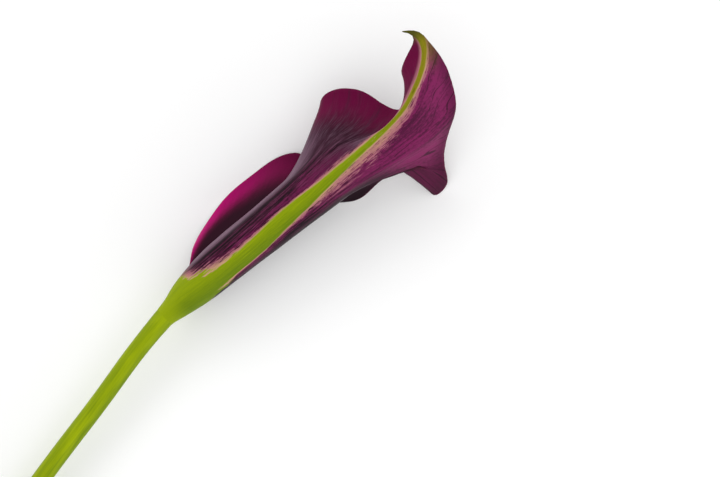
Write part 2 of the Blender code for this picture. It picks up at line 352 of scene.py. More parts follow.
def painted_values(mesh, name, values):
    """Store a vector at each of the mesh's corners for its material to read."""
    attribute = mesh.attributes.new(name, "FLOAT_VECTOR", "POINT")
    attribute.data.foreach_set("vector", np.asarray(values, np.float32).ravel())


class Reading:
    """A shader socket that takes part in Python sums; each sum adds a Math node."""

    def __init__(self, bench, socket):
        self.bench = bench
        self.socket = socket

    def sum(self, operation, first, second=0.0):
        return self.bench.read("ShaderNodeMath", {"operation": operation}, {0: first, 1: second})

    def __add__(self, other):
        return self.sum("ADD", self, other)

    __radd__ = __add__

    def __mul__(self, other):
        return self.sum("MULTIPLY", self, other)

    __rmul__ = __mul__

    def __sub__(self, other):
        return self.sum("SUBTRACT", self, other)

    def __rsub__(self, other):
        return self.sum("SUBTRACT", other, self)

    def __truediv__(self, other):
        return self.sum("DIVIDE", self, other)

    def __abs__(self):
        return self.sum("ABSOLUTE", self)

    def beat(self):
        """What stands after the point, which starts again at every whole number."""
        return self.sum("FRACT", self)


class Bench:
    """One material and the nodes it is made of."""

    def __init__(self, name):
        self.material = bpy.data.materials.new(name)
        self.material.use_nodes = True
        self.tree = self.material.node_tree
        self.tree.nodes.clear()

    def node(self, kind, settings=None, sockets=None):
        node = self.tree.nodes.new(kind)
        for key, value in (settings or {}).items():
            if key == "stops":
                self.set_stops(node.color_ramp, value)
            else:
                setattr(node, key, value)
        for key, value in (sockets or {}).items():
            if isinstance(value, Reading):
                self.tree.links.new(value.socket, node.inputs[key])
            else:
                node.inputs[key].default_value = value
        return node

    def set_stops(self, ramp, stops):
        while len(ramp.elements) > 1:
            ramp.elements.remove(ramp.elements[-1])
        for index, (place, level) in enumerate(stops):
            stop = ramp.elements[0] if index == 0 else ramp.elements.new(place)
            stop.position = place
            stop.color = (level, level, level, 1.0)

    def read(self, kind, settings=None, sockets=None, output=0):
        return Reading(self, self.node(kind, settings, sockets).outputs[output])

    def parts(self, vector):
        node = self.node("ShaderNodeSeparateXYZ", None, {0: vector})
        return [Reading(self, socket) for socket in node.outputs]

    def stored(self, name):
        return self.read("ShaderNodeAttribute", {"attribute_name": name}, None, "Vector")

    def vector(self, x, y, z):
        return self.read("ShaderNodeCombineXYZ", None, {0: x, 1: y, 2: z})

    def fade(self, value, low, high):
        """Smoothly 0 at low and 1 at high, either way round."""
        if low > high:
            return 1 - self.fade(value, high, low)
        sockets = {"Value": value, "From Min": low, "From Max": high}
        return self.read("ShaderNodeMapRange", {"interpolation_type": "SMOOTHSTEP"}, sockets)

    def curve(self, value, stops):
        """A value read against knots of (place, level), with straight lines between them."""
        span = stops[-1][0]
        highest = max(level for _, level in stops)
        shares = [(place / span, level / highest) for place, level in stops]
        return highest * self.read("ShaderNodeValToRGB", {"stops": shares}, {"Fac": value / span})

    def noise(self, vector, scale, detail, roughness):
        sockets = {"Vector": vector, "Scale": scale, "Detail": detail, "Roughness": roughness}
        return self.read("ShaderNodeTexNoise", None, sockets)

    def blend(self, mask, first, second):
        """Colour first where the mask is 0 or less, and second where it is 1 or more."""
        first, second = (colour if isinstance(colour, Reading) else (*colour, 1.0)
                         for colour in (first, second))
        settings = {"data_type": "RGBA", "clamp_factor": True}
        return self.read("ShaderNodeMix", settings, {"Factor": mask, 6: first, 7: second}, 2)

    def bump(self, height, strength, distance):
        sockets = {"Height": height, "Strength": strength, "Distance": distance}
        return self.read("ShaderNodeBump", None, sockets)

    def finish(self, shader):
        output = self.node("ShaderNodeOutputMaterial")
        self.tree.links.new(shader.socket, output.inputs["Surface"])
        return self.material


# ---------------------------------------------------------------- materials

def spathe_material(look):
    """Plum sheet with a green midrib: the colours follow the veins, their length and the rim."""
    bench = Bench("spathe_tissue")
    angle, along, to_rim = bench.parts(bench.stored("sheet"))
    across, inside, _ = bench.parts(bench.stored("rib"))
    left_side = bench.fade(across, 0.4, -0.4)
    beside = abs(across)

    # long fibres, short dashes and slow clouds, all drawn out along the veins
    fibre = bench.noise(bench.vector(angle * 0.26, along * 0.05, 0.0), 1.0, 5.0, 0.66)
    dash = bench.noise(bench.vector(across * 2.0, along * 0.30, angle * 0.05), 1.0, 4.0, 0.7)
    hair = bench.noise(bench.vector(angle * 1.5, along * 0.2, 4.0), 1.0, 3.0, 0.65)
    cloud = bench.noise(bench.vector(angle * 0.05, along * 0.05, 9.0), 1.0, 2.0, 0.5)
    mottle = bench.noise(bench.vector(angle * 0.8, along * 1.1, 6.0), 1.0, 2.0, 0.6)
    tuft = bench.noise(bench.vector(across * 0.8, along * 0.10, 2.0), 1.0, 3.0, 0.65)
    ragged = (fibre - 0.5) * 2.2 + (dash - 0.5) * 1.2

    # tube: aubergine with redder streaks towards the rib and fine fibres that carry a painted silvery sheen
    redder = bench.fade(beside, 9.0, 3.0) * 0.12 + bench.fade(along, 40.0, 75.0) * 0.08
    tube = bench.blend(bench.fade(fibre + redder, 0.53, 0.63), look.aubergine, look.plum)
    tube = bench.blend(bench.fade(dash * 0.4 + hair * 0.3 + fibre * 0.3 + redder, 0.61, 0.65) * 0.5, tube,
                       look.mauve)
    tube = bench.blend(bench.fade(hair * 0.6 + fibre * 0.4, 0.55, 0.59) * 0.25, tube, look.painted_sheen)

    # right limb: mauve with dark hair veins and painted shade; left lobe: wine that reddens towards its
    # rim, with painted sheen
    mauve = bench.blend(bench.fade(fibre * 0.4 + cloud * 0.35 + mottle * 0.25, 0.42, 0.56),
                        look.deep_mauve, look.mauve)
    # painted shade: the limb darkens towards its rim, where it turns away from the light
    mauve = bench.blend(bench.fade(to_rim, 6.0, 0.5) * 0.4, mauve, look.deep_mauve)
    mauve = bench.blend(bench.fade(angle, 58.0, 92.0) * 0.75, mauve, look.horn_wine)
    wine = bench.blend(bench.fade(to_rim + ragged * 3.0, 15.0, 0.0), look.dark_wine, look.wine)
    wine = bench.blend(bench.fade(fibre, 0.54, 0.64) * 0.5, wine, look.plum)
    # painted sheen on the lobe away from its rim, and a painted highlight beside the rib at the notch
    lobe_sheen = 0.04 + 0.34 * bench.fade(to_rim, 3.0, 17.0)
    lobe_sheen = bench.fade(hair * 0.6 + fibre * 0.4, 0.46, 0.60) * lobe_sheen
    notch_highlight = bench.fade(along, 70.0, 80.0) * bench.fade(along, 92.0, 86.0) * bench.fade(beside, 9.0, 3.0)
    wine = bench.blend(lobe_sheen + notch_highlight * 0.3, wine, look.painted_sheen)
    limb = bench.blend(left_side, mauve, wine)
    on_limb = bench.fade(along + ragged * 5.0, 56.0, 84.0)
    outer = bench.blend(on_limb, tube, limb)
    left_lobe = left_side * bench.fade(beside + ragged * 1.5, 7.0, 12.0) * bench.fade(along, 38.0, 54.0)
    outer = bench.blend(left_lobe, outer, wine)
    # painted shade on the low right side of the tube and limb, and a painted silvery reflection along its
    # edge
    low_side_shade = (1 - left_side) * bench.fade(angle, 38.0, 74.0) * bench.fade(along, 88.0, 68.0)
    outer = bench.blend(low_side_shade * (0.6 + fibre * 0.6), outer, look.aubergine)
    sheen = (1 - left_side) * bench.fade(angle, 62.0, 84.0) * bench.fade(angle, 112.0, 92.0)
    sheen = sheen * bench.fade(along, 30.0, 50.0) * bench.fade(along, 86.0, 72.0)
    sheen = sheen * bench.fade(hair * 0.5 + fibre * 0.5, 0.44, 0.60)
    outer = bench.blend(sheen * 0.55, outer, look.painted_sheen)

    # painted highlight: a silvery sheen painted on the left shoulder of the tube
    shoulder = bench.fade(angle, -62.0, -84.0) * bench.fade(angle, -145.0, -118.0)
    painted_sheen = shoulder * bench.fade(along, 9.0, 20.0) * bench.fade(along, 76.0, 56.0)
    outer = bench.blend(painted_sheen * (fibre + hair) * 0.85, outer, look.painted_sheen)

    # dark hair veins on the right limb
    course = angle * 0.13 + (cloud - 0.5) * 5.0 + fibre * 0.25
    hairline = bench.fade(abs(course.beat() - 0.5), 0.435, 0.475)
    hairline = hairline * bench.fade(cloud * 0.6 + mottle * 0.4, 0.42, 0.54)
    outer = bench.blend(hairline * on_limb * (1 - left_side) * 0.8, outer, look.vein)

    # cream and pink dashes beside the green rib, wider on the right limb
    rib_left = bench.curve(along, (
        (0, 20), (8, 12), (12, 5.5), (16, 3.2), (20, 2.5), (25, 1.9), (31, 1.65), (38, 1.9), (46, 2.35),
        (54, 2.25), (62, 1.5), (70, 1.1), (79, 0.75), (92, 0.6), (106, 0.6), (114, 0.8), (120, 1.3),
        (125, 2.5),
    ))
    rib_right = bench.curve(along, (
        (0, 20), (11, 12), (16, 6.0), (21, 5.2), (26, 4.0), (31, 3.95), (37, 3.7), (43, 3.1), (51, 2.3),
        (59, 1.75), (66, 1.45), (74, 1.15), (88, 0.95), (97, 0.8), (106, 0.9), (114, 1.1), (120, 1.7),
        (125, 3.0),
    ))
    left_reach = bench.curve(along, (
        (0, 2.0), (12, 2.4), (20, 2.4), (27, 1.6), (36, 0.9), (48, 0.6), (58, 0.7), (68, 1.2), (84, 1.0),
        (94, 0.6), (125, 0.5),
    ))
    right_reach = bench.curve(along, (
        (0, 0.3), (34, 0.3), (44, 0.5), (54, 1.4), (64, 3.4), (76, 4.6), (84, 4.0), (92, 2.6), (104, 1.2),
        (125, 1.2),
    ))
    rib_half = rib_right + left_side * (rib_left - rib_right)
    reach = right_reach + left_side * (left_reach - right_reach)
    beyond = beside - rib_half
    outwards = beyond / reach
    streaks = bench.fade(dash * 0.35 + fibre * 0.3 + hair * 0.35 - outwards * 0.12, 0.405, 0.445)
    fringe = streaks * bench.fade(outwards, 1.5, 0.7)
    pale = bench.blend(bench.fade(hair * 0.6 + dash * 0.4 + outwards * 0.15, 0.44, 0.64),
                       look.cream, look.pink_cream)
    outer = bench.blend(fringe * (0.55 + hair * 0.6), outer, pale)
    lined = left_side + (1 - left_side) * bench.fade(along, 44.0, 60.0)
    edge_line = bench.fade(beyond + ragged * 0.25 + (tuft - 0.5) * 1.5, 0.36, 0.05) * lined
    outer = bench.blend(edge_line * 0.6, outer, look.cream)
    # painted highlight: a pink band beside the rib where the left half folds over towards the tip
    fold_highlight = left_side * bench.fade(along, 88.0, 96.0) * bench.fade(beside, 2.0, 1.1)
    outer = bench.blend(fold_highlight * 0.7, outer, look.pink_cream)

    # green rib and foot; the rib gets painted shade on its right side
    green = bench.blend(fibre * 1.2 + hair * 1.2 - 0.55 - bench.fade(across, -2.5, 3.5) * 0.6,
                        look.leaf_green, look.yellow_green)
    green = bench.blend(bench.fade(along, 9.0, 0.0) * 0.6, green, look.yellow_green)
    green = bench.blend(bench.fade(dash, 0.56, 0.72) * bench.fade(along, 60.0, 90.0) * 0.6, green,
                        look.cream)
    green = bench.blend(bench.fade(along, 78.0, 104.0) * 0.75, green, look.olive)
    frayed = bench.fade(along, 34.0, 18.0) * (ragged + (tuft - 0.5) * 9.0)
    on_rib = bench.fade(beyond + ragged * 0.35 + frayed, 0.25, -0.25)
    foot_line = along + ragged * 2.6 + (tuft - 0.5) * 12.0 + bench.fade(angle, -50.0, -96.0) * 2.5
    foot_blush = bench.fade(foot_line, 18.0, 13.5) * left_side
    foot_blush = foot_blush * bench.fade(fibre * 0.4 + hair * 0.6, 0.46, 0.53)
    outer = bench.blend(foot_blush * 0.8, outer, pale)
    outer = bench.blend(on_rib, outer, green)
    outer = bench.blend(bench.fade(foot_line, 13.4, 11.6), outer, green)
    brown = bench.fade(along + ragged * 2.0, 106.0, 117.0) * (1 - left_side) * bench.fade(beside, 7.0, 2.0)
    outer = bench.blend(brown * 0.55, outer, look.olive)
    outer = bench.blend(bench.fade(along, 115.5, 120.0) * 0.9, outer, look.tip_green)

    # inside: deep wine, magenta where light comes through near the rim, pale at the low end of the wing
    glow = bench.fade(to_rim + ragged * 2.0, 11.0, 0.0) * bench.fade(along, 68.0, 22.0)
    inner = bench.blend(bench.fade(to_rim + ragged * 1.4, 15.0, 3.0) * 0.8, look.throat, look.wine)
    inner = bench.blend(glow, inner, look.magenta)
    low_end = bench.fade(along + ragged * 2.0, 25.0, 17.0) * bench.fade(to_rim + ragged, 4.0, 0.4)
    inner = bench.blend(low_end, inner, look.shell_pink)
    deep_inside = bench.fade(along, 34.0, 10.0) * bench.fade(angle, 190.0, 120.0)
    inner = bench.blend(deep_inside, inner, look.cream)
    inner = bench.blend(bench.fade(beyond + ragged * 0.5, 0.3, -0.3) * 0.7, inner, look.olive)

    colour = bench.blend(inside, outer, inner)
    rim_line = bench.fade(to_rim, 0.7, 0.1) * bench.fade(along, 62.0, 70.0)
    rim_line = rim_line * bench.fade(along, 114.0, 106.0)
    colour = bench.blend(rim_line * 0.5, colour, look.wine)

    silk = bench.bump(hair * 0.4 + fibre * 0.6, 0.5, 0.00015)
    petal = bench.read("ShaderNodeBsdfPrincipled", None, {
        "Base Color": colour, "Roughness": 0.30 + 0.16 * fibre + 0.10 * on_rib, "Normal": silk, **WAXY,
    })
    behind = bench.read("ShaderNodeBsdfTranslucent", None, {"Color": colour, "Normal": silk})
    thin = 0.05 + 0.20 * bench.fade(to_rim, 7.0, 0.5)
    return bench.finish(bench.read("ShaderNodeMixShader", None, {0: thin, 1: petal, 2: behind}))


def stem_material(look):
    """Smooth green stalk with fine lengthwise fibres, and a pale, moist cut end."""
    bench = Bench("stem_skin")
    angle, along, from_axis = bench.parts(bench.stored("stalk"))
    fibre = bench.noise(bench.vector(angle * 0.11, along * 0.05, 0.0), 1.0, 5.0, 0.62)
    cloud = bench.noise(bench.vector(angle * 0.012, along * 0.05, 5.0), 1.0, 2.0, 0.5)
    sunlit = fibre * 1.3 - 0.12 + bench.fade(cloud, 0.4, 0.65) * 0.35
    # painted shade: the sunlit green darkens on the stalk's right side
    sunlit = sunlit - bench.fade(abs(angle - 200.0), 110.0, 30.0) * 0.4
    skin = bench.blend(sunlit, look.leaf_green, look.yellow_green)
    skin = bench.blend(bench.fade(along, 22.0, 0.0) * 0.3, skin, look.pith)
    dots = bench.read("ShaderNodeTexVoronoi", None, {"Vector": bench.stored("section"), "Scale": 1.9})
    pith = bench.blend(bench.fade(dots, 0.16, 0.10), look.pith, look.leaf_green)
    pith = bench.blend(bench.fade(from_axis, 0.80, 0.97), pith, look.leaf_green)
    colour = bench.blend(bench.fade(along, 0.02, 0.0), skin, pith)
    ribs = bench.bump(fibre, 0.5, 0.0002)
    return bench.finish(bench.read("ShaderNodeBsdfPrincipled", None, {
        "Base Color": colour, "Roughness": 0.34 + 0.16 * fibre, "Normal": ribs, **WAXY,
    }))


def floret_material(name, dark, light, grain_strength):
    """Grainy tissue in two shades."""
    bench = Bench(name)
    place = bench.read("ShaderNodeTexCoord", None, None, "Object")
    grain = bench.noise(place, 2600.0, 3.0, 0.6)
    patch = bench.noise(place, 420.0, 2.0, 0.5)
    colour = bench.blend(bench.fade(grain * 0.6 + patch * 0.4, 0.35, 0.65), dark, light)
    pollen = bench.bump(grain, grain_strength, 0.0001)
    return bench.finish(bench.read("ShaderNodeBsdfPrincipled", None, {
        "Base Color": colour, "Roughness": 0.6 + 0.2 * grain, "Normal": pollen, "Sheen Weight": 0.2,
    }))


def floor_material(look):
    """Matt white with a faint grain."""
    bench = Bench("studio_floor")
    grain = bench.noise(bench.read("ShaderNodeTexCoord", None, None, "Object"), 900.0, 2.0, 0.5)
    colour = bench.blend(grain * 0.02, look.floor_white, (0.8, 0.8, 0.8))
    return bench.finish(bench.read("ShaderNodeBsdfPrincipled", None, {
        "Base Color": colour, "Roughness": 0.9, "Specular IOR Level": 0.1,
    }))


# ---------------------------------------------------------------- settings

def colour_setting(name, description, default):
    return FloatVectorProperty(name=name, description=description, default=default, subtype="COLOR",
                               size=3, min=0.0, max=1.0)


class CALLA_colours(bpy.types.PropertyGroup):
    """Colours of the living tissue, of the painted sheen on the spathe and of the studio."""

    leaf_green: colour_setting("Leaf green", "Shaded green of stem and rib", (0.115, 0.185, 0.002))
    yellow_green: colour_setting("Yellow green", "Sunlit green of stem and rib", (0.30, 0.38, 0.002))
    olive: colour_setting("Olive", "Green of the rib towards the tip", (0.22, 0.175, 0.006))
    tip_green: colour_setting("Tip green", "Hooked tip", (0.075, 0.07, 0.012))
    pith: colour_setting("Pith", "Moist inside of the stem", (0.50, 0.55, 0.22))
    cream: colour_setting("Cream", "Light dashes beside the rib", (0.56, 0.33, 0.19))
    pink_cream: colour_setting("Pink cream", "Blush dashes beside the rib", (0.40, 0.14, 0.18))
    plum: colour_setting("Plum", "Redder streaks of the tube", (0.066, 0.006, 0.030))
    aubergine: colour_setting("Aubergine", "Darkest streaks of the tube", (0.010, 0.002, 0.006))
    # painted sheen: the colour of the painted highlights and reflections on the spathe
    painted_sheen: colour_setting("Highlight", "Silvery bloom on the shoulder", (0.20, 0.115, 0.165))
    mauve: colour_setting("Mauve", "Light part of the right limb", (0.195, 0.013, 0.088))
    deep_mauve: colour_setting("Deep mauve", "Dark part of the right limb", (0.075, 0.005, 0.036))
    horn_wine: colour_setting("Horn wine", "Right limb towards its low horn", (0.060, 0.006, 0.026))
    wine: colour_setting("Wine", "Left lobe towards its rim", (0.150, 0.002, 0.045))
    dark_wine: colour_setting("Dark wine", "Left lobe away from its rim", (0.030, 0.003, 0.014))
    vein: colour_setting("Vein", "Hair veins", (0.022, 0.003, 0.012))
    magenta: colour_setting("Magenta", "Lit rim of the wing", (0.550, 0.000, 0.175))
    throat: colour_setting("Throat", "Inside of the sheet", (0.022, 0.001, 0.009))
    shell_pink: colour_setting("Shell pink", "Pale low end of the wing", (0.75, 0.22, 0.38))
    floor_white: colour_setting("Floor white", "Studio floor", (0.95, 0.95, 0.95))


class CALLA_sizes(bpy.types.PropertyGroup):
    """Fineness and thickness of the pieces."""

    vein_count: IntProperty(name="Veins", description="Rows of the sheet's mesh", default=251, min=60)
    vein_steps: IntProperty(name="Steps", description="Steps along each vein", default=131, min=30)
    foot_thickness: FloatProperty(name="Foot thickness", description="Sheet at its foot, in mm",
                                  default=0.78, min=0.2)
    rim_thickness: FloatProperty(name="Rim thickness", description="Sheet at its rim, in mm",
                                 default=0.3, min=0.1)
    stem_sides: IntProperty(name="Stem sides", description="Faces round the stem", default=72, min=16)
    stem_rings: IntProperty(name="Stem rings", description="Rings along the stem", default=260, min=40)
    florets: IntProperty(name="Florets", description="Florets on the spadix", default=520, min=50)


class CALLA_studio(bpy.types.PropertyGroup):
    """Camera and light."""

    height: FloatProperty(name="Height", description="Camera above the flower", default=0.588,
                          unit="LENGTH")
    lens: FloatProperty(name="Lens", description="Focal length in mm", default=100.0)
    roll: FloatProperty(name="Roll", description="Turn of the picture about the view",
                        default=math.radians(-39.04), subtype="ANGLE")
    zenith: FloatProperty(name="Zenith", description="Light from straight above", default=0.92)
    horizon: FloatProperty(name="Horizon", description="Light from all round", default=1.5)


# ---------------------------------------------------------------- pieces

class CALLA_OT_spathe(bpy.types.Operator):
    """Make the rolled sheet as one closed skin, thick at the foot and thin at the rim"""

    bl_idname = "calla.spathe"
    bl_label = "Spathe"

    def execute(self, context):
        sizes = context.scene.calla_sizes
        veins, steps = sizes.vein_count, sizes.vein_steps
        sheet = Sheet(veins, steps)
        near_rim = eased(sheet.share, THINS_FROM, 1.0)
        thickness = sizes.foot_thickness + (sizes.rim_thickness - sizes.foot_thickness) * near_rim
        outer = sheet.points
        inner = outer - sheet.normal * thickness[..., None]
        lip = (outer[:, -1] + inner[:, -1]) / 2 + sheet.outward * thickness[:, -1:] / 2
        corners = finished(np.concatenate([outer.reshape(-1, 3), inner.reshape(-1, 3), lip]))
        mesh = new_mesh("spathe_skin", corners, self.skin(veins, steps))

        foot = {v * steps for v in range(veins)}
        crisp_edges(mesh, foot | {veins * steps + corner for corner in foot})

        grid = np.stack([sheet.angle, sheet.along, sheet.to_rim], -1)
        painted_values(mesh, "sheet", np.concatenate([grid.reshape(-1, 3)] * 2 + [grid[:, -1]]))
        outside = np.stack([sheet.across, 0 * sheet.across, 0 * sheet.across], -1)
        inside = outside.reshape(-1, 3) + (0, 1, 0)
        halfway = outside[:, -1] + (0, 0.5, 0)
        painted_values(mesh, "rib", np.concatenate([outside.reshape(-1, 3), inside, halfway]))

        piece = new_piece("spathe_sheet", mesh, spathe_material(context.scene.calla_colours))
        self.check_place(piece)
        stand_for(piece, "spathe")
        return {"FINISHED"}

    @staticmethod
    def skin(veins, steps):
        """Faces of the closed skin: outside, inside, foot, both side margins and a rounded rim."""
        last = veins - 1
        top = steps - 1
        layer = veins * steps

        def out(vein, step):
            return vein * steps + step

        def inn(vein, step):
            return layer + vein * steps + step

        def lip(vein):
            return 2 * layer + vein

        faces = []
        for v in range(last):
            for k in range(top):
                faces.append((out(v, k), out(v + 1, k), out(v + 1, k + 1), out(v, k + 1)))
                faces.append((inn(v, k), inn(v, k + 1), inn(v + 1, k + 1), inn(v + 1, k)))
            faces.append((out(v + 1, 0), out(v, 0), inn(v, 0), inn(v + 1, 0)))
            faces.append((out(v, top), out(v + 1, top), lip(v + 1), lip(v)))
            faces.append((lip(v), lip(v + 1), inn(v + 1, top), inn(v, top)))
        for k in range(top):
            faces.append((out(0, k), out(0, k + 1), inn(0, k + 1), inn(0, k)))
            faces.append((out(last, k + 1), out(last, k), inn(last, k), inn(last, k + 1)))
        faces.append((out(0, top), lip(0), inn(0, top)))
        faces.append((lip(last), out(last, top), inn(last, top)))
        return faces

    @staticmethod
    def check_place(piece):
        """The skin has to lie where the frame's spathe lies."""
        low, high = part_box("spathe")
        corners = np.array([corner.co[:] for corner in piece.data.vertices])
        astray = max(np.abs(corners.min(0) - low).max(), np.abs(corners.max(0) - high).max())
        if astray > PLACE_SLACK:
            raise RuntimeError(f"spathe is {astray * 1000:.1f} mm from its place in the frame")


class CALLA_OT_stem(bpy.types.Operator):
    """Make the stalk with fine ribs, a plain cut end and the receptacle inside the spathe"""

    bl_idname = "calla.stem"
    bl_label = "Stem"

    def execute(self, context):
        sizes = context.scene.calla_sizes
        knots = np.array(STEM, float)
        distance = path_lengths(knots[:, :3])
        path = spline(distance, knots, np.linspace(0, distance[-1], sizes.stem_rings))
        midrib = Midrib()
        foot = midrib.centre(np.array([0.0]))[0]
        spigot = midrib.centre(np.linspace(0.0, SPIGOT_REACH, SPIGOT_RINGS))
        centres = np.concatenate([path[:, :3], [foot], spigot])
        shoulder, neck, end = SPIGOT_RADII
        radii = np.r_[path[:, 3], midrib.radius[0], shoulder, np.full(SPIGOT_RINGS - 2, neck), end]
        rings = len(centres)
        collar = sizes.stem_rings
        heading = unit(np.gradient(centres, axis=0))
        upright = eased(np.arange(rings), rings - TURNS_SQUARE, collar)[:, None]
        heading = unit(heading * (1 - upright) + midrib.ahead[0] * upright)
        side = unit(np.cross((0.0, 0.0, 1.0), heading))
        over = np.cross(heading, side)
        along = path_lengths(centres)
        turn = np.linspace(0, 2 * np.pi, sizes.stem_sides, endpoint=False)
        ribbing = sum(height * np.sin(count * turn + phase) for height, count, phase in STEM_RIBS)
        round_it = (np.cos(turn)[None, :, None] * side[:, None]
                    + np.sin(turn)[None, :, None] * over[:, None])
        ribbing = 1 + ribbing[None, :, None] * (1 - upright[:, :, None])
        wall = centres[:, None] + round_it * radii[:, None, None] * ribbing
        cut = [centres[0] + round_it[0] * radii[0] * share for share in CUT_RINGS]
        corners = [*wall.reshape(-1, 3), *np.concatenate(cut), centres[0], centres[-1]]

        count = sizes.stem_sides
        pairs = [(k, (k + 1) % count) for k in range(count)]
        faces = []
        for ring in range(rings - 1):
            a, b = ring * count, (ring + 1) * count
            faces += [(a + k, a + n, b + n, b + k) for k, n in pairs]
        start = rings * count
        inner_rings = [0] + [start + index * count for index in range(len(CUT_RINGS))]
        for a, b in zip(inner_rings, inner_rings[1:]):
            faces += [(a + k, b + k, b + n, a + n) for k, n in pairs]
        innermost, top = inner_rings[-1], (rings - 1) * count
        hub, top_hub = innermost + count, innermost + count + 1
        for k, n in pairs:
            faces.append((innermost + n, innermost + k, hub))
            faces.append((top + k, top + n, top_hub))
        mesh = new_mesh("stem_skin", finished(corners), faces)
        crisp_edges(mesh, {*range(count), *range(collar * count, (collar + 1) * count)})

        degrees = np.degrees(turn)
        stalk = [(angle, place, 1.0) for place in along for angle in degrees]
        stalk += [(angle, -1.0, share) for share in CUT_RINGS for angle in degrees]
        stalk += [(0.0, -1.0, 0.0), (0.0, along[-1], 0.0)]
        painted_values(mesh, "stalk", stalk)
        section = np.zeros((len(corners), 3))
        flat = np.stack([np.cos(turn), np.sin(turn), 0 * turn], 1)
        for ring, share in zip(inner_rings, (1.0, *CUT_RINGS)):
            section[ring:ring + count] = flat * share * radii[0]
        painted_values(mesh, "section", section)
        piece = new_piece("stem_stalk", mesh, stem_material(context.scene.calla_colours))
        stand_for(piece, "stem")
        return {"FINISHED"}


class CALLA_OT_spadix(bpy.types.Operator):
    """Make the spadix: a tapered core that Geometry Nodes cover with spiralling florets"""

    bl_idname = "calla.spadix"
    bl_label = "Spadix"

    def execute(self, context):
        sizes = context.scene.calla_sizes
        midrib = Midrib()
        share = np.linspace(0, 1, SPADIX_RINGS)
        first = SPIGOT_REACH + SPADIX_FROM
        points = finished(midrib.centre(first + share * SPADIX_LENGTH))
        profile = np.array(SPADIX_CORE, float)
        radii = np.interp(share, profile[:, 0], profile[:, 1]) * MM
        line = bpy.data.curves.new("spadix_line", "CURVE")
        line.dimensions = "3D"
        strand = line.splines.new("POLY")
        strand.points.add(len(points) - 1)
        for place, point, radius in zip(strand.points, points, radii):
            place.co = (*point, 1.0)
            place.radius = radius
        guide = new_object("spadix_guide", line)

        tree = self.tree(*(floret_material(*tissue) for tissue in SPADIX_TISSUES))
        maker = guide.modifiers.new("florets", "NODES")
        maker.node_group = tree
        asked = {"Florets": sizes.florets, "Floret size": FLORET_RADIUS, "Turn": FLORET_TURN, "Seed": 3}
        for item in tree.interface.items_tree:
            if item.item_type == "SOCKET" and item.in_out == "INPUT" and item.name in asked:
                maker[item.identifier] = asked[item.name]
        context.view_layer.update()
        graph = context.evaluated_depsgraph_get()
        mesh = bpy.data.meshes.new_from_object(guide.evaluated_get(graph))
        bpy.data.objects.remove(guide, do_unlink=True)
        mesh.name = "spadix_florets"
        stand_for(new_object("spadix_spike", mesh), "spadix")
        return {"FINISHED"}

    @staticmethod
    def tree(core, lower, upper):
        """Geometry Nodes: a core along the guide, and florets in a spiral on it."""
        tree = bpy.data.node_groups.new("spiral_florets", "GeometryNodeTree")
        inputs = {"Geometry": "Geometry", "Florets": "Int", "Floret size": "Float", "Turn": "Float",
                  "Seed": "Int"}
        for name, kind in inputs.items():
            tree.interface.new_socket(name, in_out="INPUT", socket_type="NodeSocket" + kind)
        tree.interface.new_socket("Geometry", in_out="OUTPUT", socket_type="NodeSocketGeometry")

        def add(kind, settings=None, sockets=None):
            node = tree.nodes.new(kind)
            for key, value in (settings or {}).items():
                setattr(node, key, value)
            for key, value in (sockets or {}).items():
                if isinstance(value, bpy.types.NodeSocket):
                    tree.links.new(value, node.inputs[key])
                else:
                    node.inputs[key].default_value = value
            return node

        def sums(operation, first, second):
            return add("ShaderNodeMath", {"operation": operation}, {0: first, 1: second}).outputs[0]

        given = tree.nodes.new("NodeGroupInput").outputs
        line = given["Geometry"]

        ring = add("GeometryNodeCurvePrimitiveCircle", None,
                   {"Resolution": 32, "Radius": 1.0}).outputs["Curve"]
        rod = add("GeometryNodeCurveToMesh", None,
                  {"Curve": line, "Profile Curve": ring, "Fill Caps": True,
                   "Scale": add("GeometryNodeInputRadius").outputs[0]}).outputs["Mesh"]
        rod = add("GeometryNodeSetMaterial", None, {"Geometry": rod, "Material": core}).outputs[0]

        seeds = add("GeometryNodeMeshLine", {"mode": "OFFSET"},
                    {"Count": given["Florets"], "Offset": (0.0, 0.0, 0.0)}).outputs[0]
        index = add("GeometryNodeInputIndex").outputs[0]
        share = sums("DIVIDE", sums("ADD", index, 0.5), given["Florets"])
        share = sums("ADD", FLORETS_FROM, sums("MULTIPLY", share, FLORETS_SPAN))
        sample = add("GeometryNodeSampleCurve", {"mode": "FACTOR", "data_type": "FLOAT"},
                     {"Curves": line, "Value": add("GeometryNodeInputRadius").outputs[0], "Factor": share})
        turn = sums("MULTIPLY", index, given["Turn"])
        tangent = sample.outputs["Tangent"]
        spoke = add("ShaderNodeVectorRotate", {"rotation_type": "AXIS_ANGLE"},
                    {"Vector": sample.outputs["Normal"], "Axis": tangent, "Angle": turn}).outputs[0]
        reach = add("ShaderNodeVectorMath", {"operation": "SCALE"},
                    {0: spoke, "Scale": sample.outputs[0]}).outputs[0]
        place = add("ShaderNodeVectorMath", {"operation": "ADD"},
                    {0: sample.outputs["Position"], 1: reach}).outputs[0]
        placed = add("GeometryNodeSetPosition", None, {"Geometry": seeds, "Position": place}).outputs[0]
        facing = add("FunctionNodeAlignRotationToVector", {"axis": "Z"}, {"Vector": spoke}).outputs[0]
        wobble = add("FunctionNodeRandomValue", {"data_type": "FLOAT"},
                     {2: 0.82, 3: 1.12, "Seed": given["Seed"]}).outputs[1]
        size = sums("MULTIPLY", given["Floret size"], wobble)
        low = add("FunctionNodeCompare", {"data_type": "FLOAT", "operation": "LESS_THAN"},
                  {0: share, 1: PISTILS_TO}).outputs[0]

